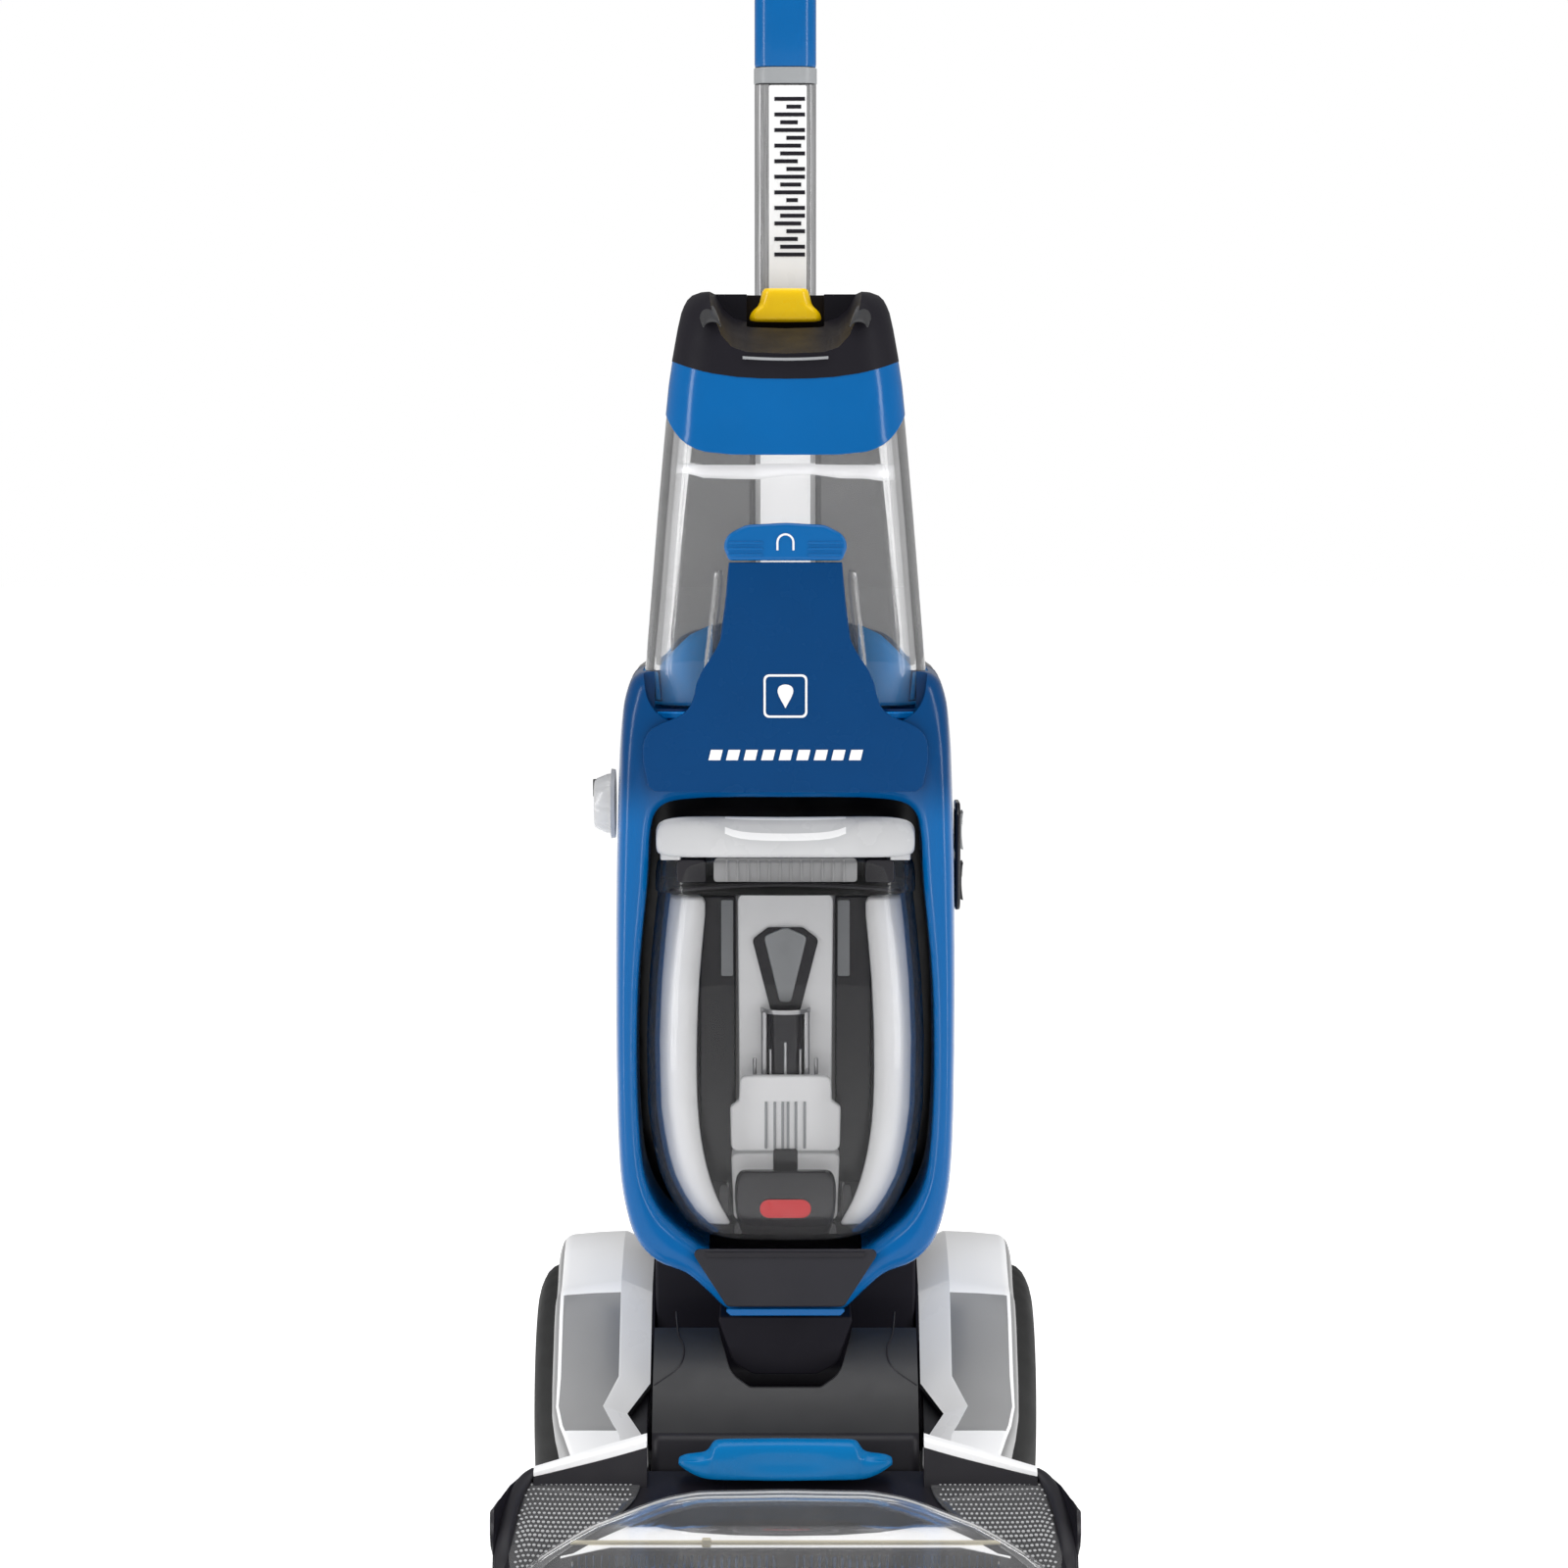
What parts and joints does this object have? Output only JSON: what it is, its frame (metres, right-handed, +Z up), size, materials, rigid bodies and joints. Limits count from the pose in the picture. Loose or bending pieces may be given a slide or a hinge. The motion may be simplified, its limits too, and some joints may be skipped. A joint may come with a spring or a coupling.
{
  "type": "carpet cleaner machine",
  "caption": "Upright carpet washer: reclining body with clean and dirty water tanks, wheeled floor head with brush rolls and clear suction nozzle, and a loop handle.",
  "frame": {"origin": "on the floor, at the centre of the bounding box footprint", "axes": "+X to the right as seen from the front, +Y to the rear, +Z up"},
  "size_m": [0.32, 0.4559, 1.1049],
  "materials": {
    "foot_black": "moulded satin",
    "cover_grey": "moulded satin",
    "silver_trim": "silver painted plastic",
    "rubber_part": "matt",
    "steel_part": "brushed",
    "smoke_clear": "smoke clear plastic",
    "clear_window": "clear plastic",
    "gloss_blue": "gloss",
    "bristle_blue": "nylon",
    "tyre_black": "matt rubber",
    "hub_silver": "silver painted plastic",
    "shell_black": "gloss",
    "smoke_sleeve": "satin",
    "knob_grey": "satin",
    "gloss_black": "gloss",
    "button_yellow": "gloss",
    "clear_tank": "clear plastic",
    "lid_grey": "satin",
    "stack_grey": "satin",
    "float_white": "satin",
    "tube_silver": "anodised"
  },
  "bodies": {
    "foot": {"foot_chassis": "foot_black", "saddle_cover": "cover_grey", "left_fairing": "silver_trim", "right_fairing": "silver_trim", "brush_housing": "foot_black", "skid_pads": "rubber_part", "wheel_axles": "steel_part", "brush_motor": "steel_part", "drive_belt": "rubber_part", "brush_belt": "rubber_part", "spray_jets": "foot_black", "trim_strips": "silver_trim", "nozzle_cover": "smoke_clear"},
    "support_roller_axle": {"support_rollers": "cover_grey"},
    "pedal": {"recline_pedal": "foot_black"},
    "suction_window": {"nozzle_window": "clear_window", "nozzle_lip_seal": "rubber_part"},
    "window_latch": {"nozzle_latch": "gloss_blue"},
    "front_brush": {"front_brush_core": "cover_grey", "front_brush_bristles": "bristle_blue"},
    "rear_brush": {"rear_brush_core": "cover_grey", "rear_brush_bristles": "bristle_blue"},
    "motor_pulley": {"drive_pulley": "steel_part"},
    "left_wheel": {"left_tyre": "tyre_black", "left_hub": "hub_silver"},
    "right_wheel": {"right_tyre": "tyre_black", "right_hub": "hub_silver"},
    "upright": {"front_shell": "gloss_blue", "header_cowl": "gloss_blue", "rear_shell": "shell_black", "neck_housing": "shell_black", "bay_liner": "shell_black", "bay_apron": "cover_grey", "suction_motor": "steel_part", "water_pump": "cover_grey", "heater_block": "steel_part", "spine_sleeve": "smoke_sleeve", "hose_port": "cover_grey", "cord_gland": "rubber_part", "lower_cord_hook": "shell_black", "switch_bezel": "shell_black", "body_screws": "steel_part", "handle_tube": "tube_silver", "handle_loop": "gloss_blue"},
    "fan": {"suction_fan": "steel_part"},
    "hose_flap": {"hose_door": "shell_black"},
    "cord_hook": {"upper_cord_hook": "shell_black"},
    "power_switch": {"power_rocker": "cover_grey"},
    "heat_switch": {"heat_rocker": "foot_black"},
    "mode_dial": {"mode_knob": "knob_grey"},
    "clean_tank_catch": {"tank_latch": "gloss_blue"},
    "clean_tank": {"clean_tank_shell": "smoke_clear", "clean_tank_band": "gloss_blue", "clean_tank_cap": "gloss_black"},
    "release_button": {"tank_button": "button_yellow"},
    "dirty_tank": {"dirty_tank_shell": "clear_tank", "dirty_tank_lid": "lid_grey", "dirty_tank_stack": "stack_grey"},
    "float": {"tank_float": "float_white"},
    "trigger": {"spray_trigger": "foot_black"}
  },
  "joints": [
    {"name": "body_recline", "type": "hinge", "parent": "foot", "child": "upright", "pos_m": [0, 0.095, 0.082], "axis": [-1, 0, 0], "range_deg": [0, 50]},
    {"name": "left_wheel_spin", "type": "hinge", "parent": "foot", "child": "left_wheel", "pos_m": [0, 0.095, 0.082], "axis": [-1, 0, 0], "continuous": true},
    {"name": "right_wheel_spin", "type": "hinge", "parent": "foot", "child": "right_wheel", "pos_m": [0, 0.095, 0.082], "axis": [-1, 0, 0], "continuous": true},
    {"name": "support_roller_spin", "type": "hinge", "parent": "foot", "child": "support_roller_axle", "pos_m": [0, -0.083, 0.0115], "axis": [-1, 0, 0], "continuous": true},
    {"name": "rear_brush_spin", "type": "hinge", "parent": "foot", "child": "rear_brush", "pos_m": [0, -0.128, 0.024], "axis": [1, 0, 0], "continuous": true},
    {"name": "front_brush_spin", "type": "hinge", "parent": "foot", "child": "front_brush", "pos_m": [0, -0.176, 0.024], "axis": [1, 0, 0], "continuous": true},
    {"name": "motor_pulley_spin", "type": "hinge", "parent": "foot", "child": "motor_pulley", "pos_m": [0, -0.066, 0.05], "axis": [1, 0, 0], "continuous": true},
    {"name": "pedal_press", "type": "hinge", "parent": "foot", "child": "pedal", "pos_m": [0, 0.166, 0.0375], "axis": [-1, 0, 0], "range_deg": [0, 15], "stiffness_Nm_per_rad": 2, "springref_deg": -11.46},
    {"name": "window_lift", "type": "slide", "parent": "foot", "child": "suction_window", "axis": [0, -0.6, 0.8], "range_m": [0, 0.06]},
    {"name": "window_latch_tilt", "type": "hinge", "parent": "suction_window", "child": "window_latch", "pos_m": [0, -0.098, 0.097], "axis": [-1, 0, 0], "range_deg": [0, 20], "stiffness_Nm_per_rad": 0.2, "springref_deg": -17.19},
    {"name": "clean_tank_lift", "type": "slide", "parent": "upright", "child": "clean_tank", "axis": [0, 0, 1], "range_m": [0, 0.26]},
    {"name": "release_button_press", "type": "slide", "parent": "clean_tank", "child": "release_button", "axis": [0, 0, -1], "range_m": [0, 0.004], "stiffness_N_per_m": 300, "springref_m": -0.001},
    {"name": "clean_tank_catch_tilt", "type": "hinge", "parent": "upright", "child": "clean_tank_catch", "pos_m": [0, -0.06, 0.598], "axis": [1, 0, 0], "range_deg": [0, 12], "stiffness_Nm_per_rad": 0.1, "springref_deg": -17.19},
    {"name": "dirty_tank_pull", "type": "slide", "parent": "upright", "child": "dirty_tank", "axis": [0, -1, 0], "range_m": [0, 0.18]},
    {"name": "float_rise", "type": "slide", "parent": "dirty_tank", "child": "float", "axis": [0, 0, 1], "range_m": [0, 0.03]},
    {"name": "fan_spin", "type": "hinge", "parent": "upright", "child": "fan", "pos_m": [0, 0.095, 0.082], "axis": [1, 0, 0], "continuous": true},
    {"name": "hose_flap_swing", "type": "hinge", "parent": "upright", "child": "hose_flap", "pos_m": [0.05, 0.1356, 0.3596], "axis": [1, 0, 0], "range_deg": [0, 95], "stiffness_Nm_per_rad": 0.02, "springref_deg": -34.38},
    {"name": "cord_hook_turn", "type": "hinge", "parent": "upright", "child": "cord_hook", "pos_m": [0, 0.128, 0.46], "axis": [0, 1, 0], "range_deg": [0, 180]},
    {"name": "power_rocker_tilt", "type": "hinge", "parent": "upright", "child": "power_switch", "pos_m": [0.0986, -0.012, 0.437], "axis": [0, 1, 0], "range_deg": [-8, 8]},
    {"name": "heat_rocker_tilt", "type": "hinge", "parent": "upright", "child": "heat_switch", "pos_m": [0.0986, -0.012, 0.408], "axis": [0, 1, 0], "range_deg": [-8, 8]},
    {"name": "mode_dial_turn", "type": "hinge", "parent": "upright", "child": "mode_dial", "pos_m": [-0.097, -0.012, 0.452], "axis": [-1, 0, 0], "range_deg": [0, 90]},
    {"name": "trigger_pull", "type": "hinge", "parent": "upright", "child": "trigger", "pos_m": [0, 0.2009, 1.0379], "axis": [1, 0, 0], "range_deg": [0, 9], "stiffness_Nm_per_rad": 0.3, "springref_deg": -11.46}
  ],
  "couplings": [
    {"joint": "front_brush_spin", "follows": "rear_brush_spin", "ratio": 1},
    {"joint": "motor_pulley_spin", "follows": "rear_brush_spin", "ratio": 2}
  ]
}
